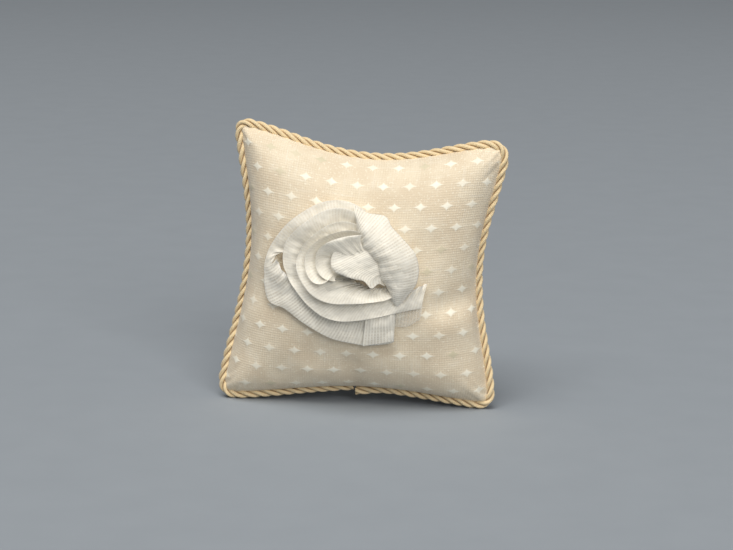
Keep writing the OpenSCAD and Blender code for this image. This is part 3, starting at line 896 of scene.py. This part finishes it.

# The rosette's lengths of ribbon, from the outside in, and then its cut tail. Every point is
# (x, z, height over the panel), and a petal's three lines run the same way.
PETALS = {
    "right_petal": dict(
        node="outer_petal_right",
        look="open_ribbon",
        rim=[
            (0.0, 25.7, 1.2), (1.7, 25.0, 1.6), (3.8, 24.7, 1.8), (4.6, 23.5, 1.8),
            (5.8, 22.3, 1.8), (7.3, 20.5, 1.8), (7.8, 18.6, 1.7), (7.5, 16.7, 1.6),
            (6.5, 15.3, 1.4), (5.6, 14.0, 0.9),
        ],
        middle=[
            (0.2, 24.9, 1.8), (1.1, 23.8, 2.7), (2.4, 22.4, 3.0), (3.5, 21.5, 3.1),
            (4.0, 20.6, 3.1), (4.5, 19.4, 3.0), (4.7, 18.1, 2.8), (5.0, 16.8, 2.5),
            (5.1, 15.5, 1.9), (5.0, 14.3, 1.2),
        ],
        hem=[
            (0.4, 24.0, 1.2), (0.5, 22.6, 1.6), (1.1, 20.9, 1.4), (2.0, 19.9, 1.1),
            (2.7, 19.3, 0.9), (2.9, 18.6, 0.8), (3.1, 17.8, 0.7), (3.5, 16.9, 0.6),
            (4.0, 16.0, 0.5), (4.4, 14.8, 0.4),
        ],
        pleat=0.15,
    ),
    "left_petal": dict(
        node="outer_petal_left",
        rim=[
            (1.4, 25.2, 1.3), (-0.4, 26.0, 1.2), (-2.3, 26.2, 1.1), (-4.2, 25.8, 1.1),
            (-6.0, 24.8, 1.1), (-7.7, 23.5, 1.1), (-9.1, 21.9, 1.1), (-10.2, 20.2, 1.0),
            (-10.8, 18.6, 1.0), (-11.0, 17.0, 0.9),
        ],
        middle=[
            (1.0, 23.9, 0.8), (-0.6, 24.1, 0.7), (-2.2, 23.9, 0.6), (-3.7, 23.3, 0.6),
            (-4.8, 22.5, 0.6), (-5.9, 21.5, 0.6), (-7.2, 20.6, 0.6), (-8.9, 20.0, 0.7),
            (-9.8, 19.2, 0.8), (-10.2, 17.9, 0.8),
        ],
        hem=[
            (0.6, 21.6, 0.5), (-0.6, 21.0, 0.5), (-1.6, 20.4, 0.5), (-2.4, 19.8, 0.5),
            (-3.0, 19.2, 0.5), (-4.2, 18.8, 0.5), (-6.0, 19.0, 0.5), (-8.4, 19.7, 0.6),
            (-9.3, 19.3, 0.7), (-9.6, 18.8, 0.8),
        ],
    ),
    "bottom_petal": dict(
        node="outer_petal_bottom",
        look="open_ribbon",
        rim=[
            (-10.9, 17.8, 1.0), (-10.9, 15.4, 0.9), (-10.3, 13.6, 0.8), (-8.3, 12.9, 0.7),
            (-6.0, 11.4, 0.7), (-3.0, 9.8, 0.7), (-0.6, 9.2, 0.7), (1.8, 8.9, 0.7),
            (4.2, 9.2, 0.7), (4.9, 9.6, 0.9), (3.4, 9.3, 1.1), (1.2, 8.9, 1.1),
        ],
        middle=[
            (-10.0, 18.2, 1.1), (-9.4, 16.4, 1.0), (-8.4, 15.0, 0.8), (-6.6, 14.2, 0.7),
            (-4.8, 13.3, 0.6), (-2.7, 12.0, 0.6), (-0.7, 11.6, 0.6), (2.0, 11.4, 0.6),
            (4.3, 11.5, 0.6), (5.0, 11.7, 0.8), (3.5, 11.5, 1.0), (1.5, 11.3, 1.0),
        ],
        hem=[
            (-9.3, 18.9, 1.1), (-8.4, 17.5, 1.1), (-7.0, 16.6, 1.0), (-5.5, 15.9, 0.9),
            (-4.0, 15.2, 0.6), (-2.6, 14.4, 0.5), (-0.8, 14.0, 0.5), (2.0, 13.9, 0.5),
            (4.4, 13.9, 0.5), (5.0, 14.0, 0.7), (3.6, 13.8, 0.8), (1.8, 13.7, 0.8),
        ],
        pleat=0.25,
    ),
    "upper_turn": dict(
        node="middle_petal_upper",
        rim=[
            (2.6, 24.1, 2.0), (0.6, 25.0, 2.0), (-1.4, 25.5, 1.9), (-3.2, 25.2, 1.9),
            (-5.0, 24.2, 1.9), (-6.7, 22.8, 1.8), (-8.0, 21.2, 1.7), (-8.4, 19.6, 1.6),
            (-8.3, 18.2, 1.5), (-7.8, 17.0, 1.3),
        ],
        middle=[
            (1.4, 22.8, 1.1), (0.0, 23.2, 1.1), (-1.6, 23.4, 1.1), (-2.9, 22.9, 1.1),
            (-4.2, 22.1, 1.1), (-5.4, 21.0, 1.1), (-6.4, 20.0, 1.0), (-6.7, 19.0, 0.9),
            (-6.6, 18.1, 0.9), (-6.2, 17.3, 0.9),
        ],
        hem=[
            (0.6, 20.6, 0.5), (-0.4, 20.6, 0.5), (-1.4, 20.6, 0.5), (-2.1, 20.4, 0.5),
            (-2.7, 20.0, 0.5), (-3.2, 19.5, 0.5), (-3.5, 19.0, 0.5), (-3.7, 18.5, 0.5),
            (-3.7, 18.0, 0.5), (-3.5, 17.6, 0.5),
        ],
    ),
    "lower_turn": dict(
        node="middle_petal_lower",
        rim=[
            (-8.2, 18.4, 1.2), (-7.8, 16.9, 1.4), (-6.7, 15.4, 1.6), (-5.2, 13.8, 1.7),
            (-3.4, 12.6, 1.7), (-1.4, 12.1, 1.7), (0.9, 12.3, 1.6), (3.0, 12.7, 1.4),
            (5.0, 13.1, 1.1), (6.6, 13.4, 0.8), (8.0, 13.6, 0.6),
        ],
        middle=[
            (-6.7, 18.3, 0.8), (-6.3, 17.2, 0.9), (-5.4, 16.1, 1.1), (-4.1, 15.1, 1.2),
            (-2.7, 14.3, 1.2), (-1.0, 13.9, 1.2), (0.9, 14.0, 1.1), (2.8, 14.2, 0.9),
            (4.9, 14.2, 0.8), (6.7, 14.6, 0.8), (8.3, 15.0, 0.7),
        ],
        hem=[
            (-3.7, 18.6, 0.4), (-3.4, 18.2, 0.4), (-2.9, 17.7, 0.4), (-2.3, 17.3, 0.4),
            (-1.6, 16.8, 0.4), (-0.7, 16.3, 0.4), (0.4, 15.9, 0.4), (2.0, 15.7, 0.4),
            (4.0, 15.3, 0.4), (6.2, 15.6, 0.5), (8.7, 16.6, 0.5),
        ],
    ),
    "left_turn": dict(
        node="inner_petal_left",
        rim=[
            (1.6, 23.3, 2.0), (-0.3, 24.0, 2.3), (-2.1, 23.9, 2.5), (-3.9, 22.9, 2.6),
            (-5.5, 21.4, 2.7), (-6.4, 19.8, 2.7), (-6.5, 18.2, 2.6), (-5.7, 16.5, 2.5),
            (-4.3, 15.1, 2.5), (-2.4, 14.4, 2.4), (-0.2, 14.4, 2.3), (2.1, 14.6, 2.1),
            (4.2, 14.9, 1.7), (5.4, 15.6, 1.2),
        ],
        middle=[
            (1.1, 22.0, 1.4), (-0.3, 22.4, 1.5), (-1.6, 22.2, 1.6), (-2.8, 21.5, 1.6),
            (-3.9, 20.6, 1.6), (-4.5, 19.6, 1.6), (-4.5, 18.5, 1.6), (-3.9, 17.4, 1.6),
            (-2.8, 16.5, 1.6), (-1.6, 16.0, 1.5), (-0.1, 15.8, 1.4), (1.8, 15.5, 1.2),
            (3.4, 15.5, 0.9), (4.6, 15.9, 0.8),
        ],
        hem=[
            (0.5, 20.2, 0.5), (-0.2, 20.2, 0.5), (-0.8, 20.0, 0.5), (-1.3, 19.8, 0.5),
            (-1.7, 19.5, 0.5), (-1.9, 19.2, 0.5), (-1.9, 18.8, 0.5), (-1.7, 18.5, 0.5),
            (-1.4, 18.2, 0.5), (-0.9, 17.9, 0.5), (-0.2, 17.2, 0.5), (1.6, 16.2, 0.4),
            (3.0, 16.0, 0.4), (4.2, 16.2, 0.4),
        ],
        pleat=0.55,
    ),
    "low_turn": dict(
        node="inner_petal_lower",
        rim=[
            (1.9, 22.5, 2.6), (0.3, 23.2, 2.9), (-1.5, 23.0, 3.1), (-3.4, 22.2, 3.2),
            (-4.8, 21.0, 3.2), (-5.4, 19.5, 3.1), (-5.2, 18.0, 3.0), (-4.3, 16.9, 2.9),
            (-3.1, 16.9, 2.8), (-1.9, 17.9, 2.4),
        ],
        middle=[
            (1.4, 21.0, 1.4), (0.2, 21.4, 1.5), (-1.1, 21.3, 1.6), (-2.4, 20.8, 1.7),
            (-3.2, 20.1, 1.7), (-3.6, 19.3, 1.7), (-3.4, 18.5, 1.7), (-2.8, 18.0, 1.6),
            (-2.0, 17.9, 1.5), (-1.3, 18.1, 1.4),
        ],
        hem=[
            (0.9, 18.8, 0.5), (0.5, 19.0, 0.5), (0.1, 19.1, 0.5), (-0.2, 19.2, 0.5),
            (-0.4, 19.2, 0.5), (-0.5, 19.2, 0.5), (-0.4, 19.2, 0.5), (-0.2, 19.2, 0.5),
            (0.2, 19.1, 0.5), (0.5, 18.8, 0.5),
        ],
    ),
    "centre_fold": dict(
        node="rosette_bud",
        rim=[
            (-1.8, 17.1, 2.3), (-3.0, 17.4, 2.7), (-3.9, 18.4, 3.0), (-4.1, 19.6, 3.2),
            (-3.8, 20.8, 3.5), (-2.7, 21.8, 3.7), (-1.3, 22.4, 3.7), (0.1, 22.7, 3.5),
            (1.4, 22.8, 3.2),
        ],
        middle=[
            (-1.2, 18.0, 1.3), (-1.9, 18.3, 1.4), (-2.5, 18.9, 1.6), (-2.6, 19.6, 1.9),
            (-2.3, 20.3, 2.5), (-1.6, 20.9, 3.1), (-0.6, 21.3, 3.2), (0.3, 21.5, 2.9),
            (1.2, 21.5, 2.4),
        ],
        hem=[
            (1.7, 18.9, 0.5), (1.5, 18.7, 0.5), (1.3, 18.4, 0.5), (1.3, 18.2, 0.5),
            (1.5, 18.0, 0.5), (1.8, 18.1, 0.5), (2.0, 18.4, 0.5), (2.2, 18.8, 0.5),
            (2.3, 19.3, 0.5),
        ],
    ),
    "centre_flap": dict(
        node="inner_petal_right",
        look="open_ribbon",
        rim=[
            (-0.4, 21.9, 2.7), (-1.5, 21.2, 2.8), (-2.2, 20.2, 2.8), (-2.3, 19.1, 2.8),
            (-1.8, 18.3, 2.8), (-0.7, 17.9, 2.8), (0.5, 17.5, 2.7), (1.6, 17.2, 2.4),
            (2.4, 16.3, 2.1), (3.2, 16.8, 1.7), (3.9, 16.4, 1.3),
        ],
        middle=[
            (0.3, 21.8, 2.3), (-0.4, 21.2, 2.5), (-0.8, 20.5, 2.6), (-0.8, 19.9, 2.6),
            (-0.4, 19.5, 2.7), (0.3, 19.2, 2.7), (1.2, 18.8, 2.4), (2.1, 18.3, 2.1),
            (2.8, 17.9, 1.8), (3.5, 17.9, 1.5), (4.2, 17.7, 1.1),
        ],
        hem=[
            (1.7, 23.3, 1.0), (2.4, 23.1, 1.0), (3.1, 22.8, 1.0), (3.8, 22.3, 0.9),
            (4.6, 21.7, 0.8), (5.3, 21.0, 0.7), (5.9, 20.2, 0.6), (6.4, 19.4, 0.5),
            (6.7, 18.6, 0.5), (6.9, 17.8, 0.5), (7.0, 17.1, 0.4),
        ],
        pleat=0.04,
    ),
    "cut_tail": dict(
        node="ribbon_tail",
        look="thin_ribbon",
        rim=[
            (-2.4, 11.9, 0.5), (0.2, 11.8, 0.5), (2.7, 11.6, 0.4), (5.2, 11.3, 0.3),
            (6.6, 11.4, 0.3), (7.7, 12.1, 0.2),
        ],
        middle=[
            (-2.0, 13.7, 0.7), (0.6, 13.5, 0.6), (3.0, 13.2, 0.6), (5.3, 12.9, 0.5),
            (6.9, 12.9, 0.4), (8.1, 13.0, 0.3),
        ],
        hem=[
            (-1.8, 15.8, 0.3), (0.6, 15.6, 0.3), (3.2, 15.2, 0.3), (5.6, 14.8, 0.2),
            (6.9, 14.9, 0.2), (8.1, 15.3, 0.2),
        ],
        pleat=0.04,
        gap=0.08,
    ),
}


# ---------------------------------------------------------------- floor, lights and camera

FLOOR_SIDE = 3000
CAMERA_AZIMUTH, CAMERA_ELEVATION, CAMERA_ROLL = 7.5, 12.0, 0.5
CAMERA_DISTANCE = 246.0
CAMERA_AIM = (0.7, MID_Y, 16.1)


def build_floor():
    """A plain pale floor that fades into the distance, and isn't part of the object."""
    n = Nodes("pale_floor")
    place = n.node("ShaderNodeTexCoord").outputs["Object"]
    mottle = n.noise(place, 160.0, 4.0)
    material = n.set(
        Base_Color=n.mix(mottle, rgb(0.290, 0.319, 0.351), rgb(0.314, 0.344, 0.378)),
        Roughness=0.9,
    )
    half = FLOOR_SIDE / 2
    points = [(-half, -half, 0), (half, -half, 0), (half, half, 0), (-half, half, 0)]
    floor = make_mesh("floor", points, [(0, 1, 2, 3)], smooth=False)
    floor.data.materials.append(material)


def area_light(name, place, aim, size, watts, colour):
    """A square soft box at place, in millimetres, facing aim."""
    data = bpy.data.lights.new(name, "AREA")
    data.size, data.energy, data.color = size * MM, watts, colour
    light = bpy.data.objects.new(name, data)
    light.location = Vector(place) * MM
    light.rotation_euler = (Vector(aim) - Vector(place)).to_track_quat("-Z", "Y").to_euler()
    bpy.context.scene.collection.objects.link(light)


def build_lights():
    """One large soft box over the pillow and a little in front, a weak fill, and a dim room."""
    middle = (0, 0, 16)
    area_light(
        "top_box", (-150, -850, 1800), middle, size=1400, watts=37, colour=(1.0, 0.985, 0.955)
    )
    area_light(
        "right_fill", (900, -1700, 1000), middle, size=900, watts=19, colour=(1.0, 0.99, 0.97)
    )
    world = bpy.data.worlds.new("studio")
    bpy.context.scene.world = world
    world.use_nodes = True
    background = world.node_tree.nodes["Background"]
    background.inputs["Color"].default_value = rgb(0.93, 0.96, 1.0)
    background.inputs["Strength"].default_value = 0.08


def build_camera():
    """A long lens from in front, a little to the right and above."""
    azimuth, elevation, roll = (
        math.radians(a) for a in (CAMERA_AZIMUTH, CAMERA_ELEVATION, CAMERA_ROLL)
    )
    back = Vector((
        math.sin(azimuth) * math.cos(elevation),
        -math.cos(azimuth) * math.cos(elevation),
        math.sin(elevation),
    ))
    data = bpy.data.cameras.new("camera")
    data.lens, data.sensor_width = 100, 36
    camera = bpy.data.objects.new("camera", data)
    turn = (-back).to_track_quat("-Z", "Y").to_matrix() @ Matrix.Rotation(roll, 3, "Z")
    camera.matrix_world = Matrix.Translation(
        (Vector(CAMERA_AIM) + back * CAMERA_DISTANCE) * MM
    ) @ turn.to_4x4()
    data.clip_start, data.clip_end = 0.01, 10
    bpy.context.scene.collection.objects.link(camera)
    bpy.context.scene.camera = camera


# ---------------------------------------------------------------- the scene

THREAD_NODES = (
    "seam_stitches", "closing_stitches", "trim_stitches", "gather_thread", "tack_stitches",
)


def paint_cad_nodes(material, *nodes):
    """Gives the CAD nodes that stay their material."""
    for name in nodes:
        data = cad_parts[name].data
        data.materials.clear()
        data.materials.append(material)


def main():
    build_camera()
    build_floor()
    build_lights()
    scene = bpy.context.scene
    scene.view_settings.view_transform = "Standard"
    scene.cycles.transparent_max_bounces = 32

    brocade, thread = brocade_material(), thread_material()
    ribbons = {name: ribbon_material(name, *look) for name, look in RIBBON_LOOKS.items()}
    front, back = start_shape(-1), start_shape(1)
    front, back = inflate(front, back)
    front_face = build_panel("front_panel_cloth", "front_panel", front, -1, brocade)
    back_face = build_panel("back_panel_cloth", "back_panel", back, 1, brocade)
    build_fill(front_face, back_face, stuffing_material())
    build_cord(cord_material())
    paint_cad_nodes(thread, *THREAD_NODES)
    face = Face(front_face)
    for name, shape in PETALS.items():
        build_petal(name, face=face, ribbons=ribbons, **shape)


main()
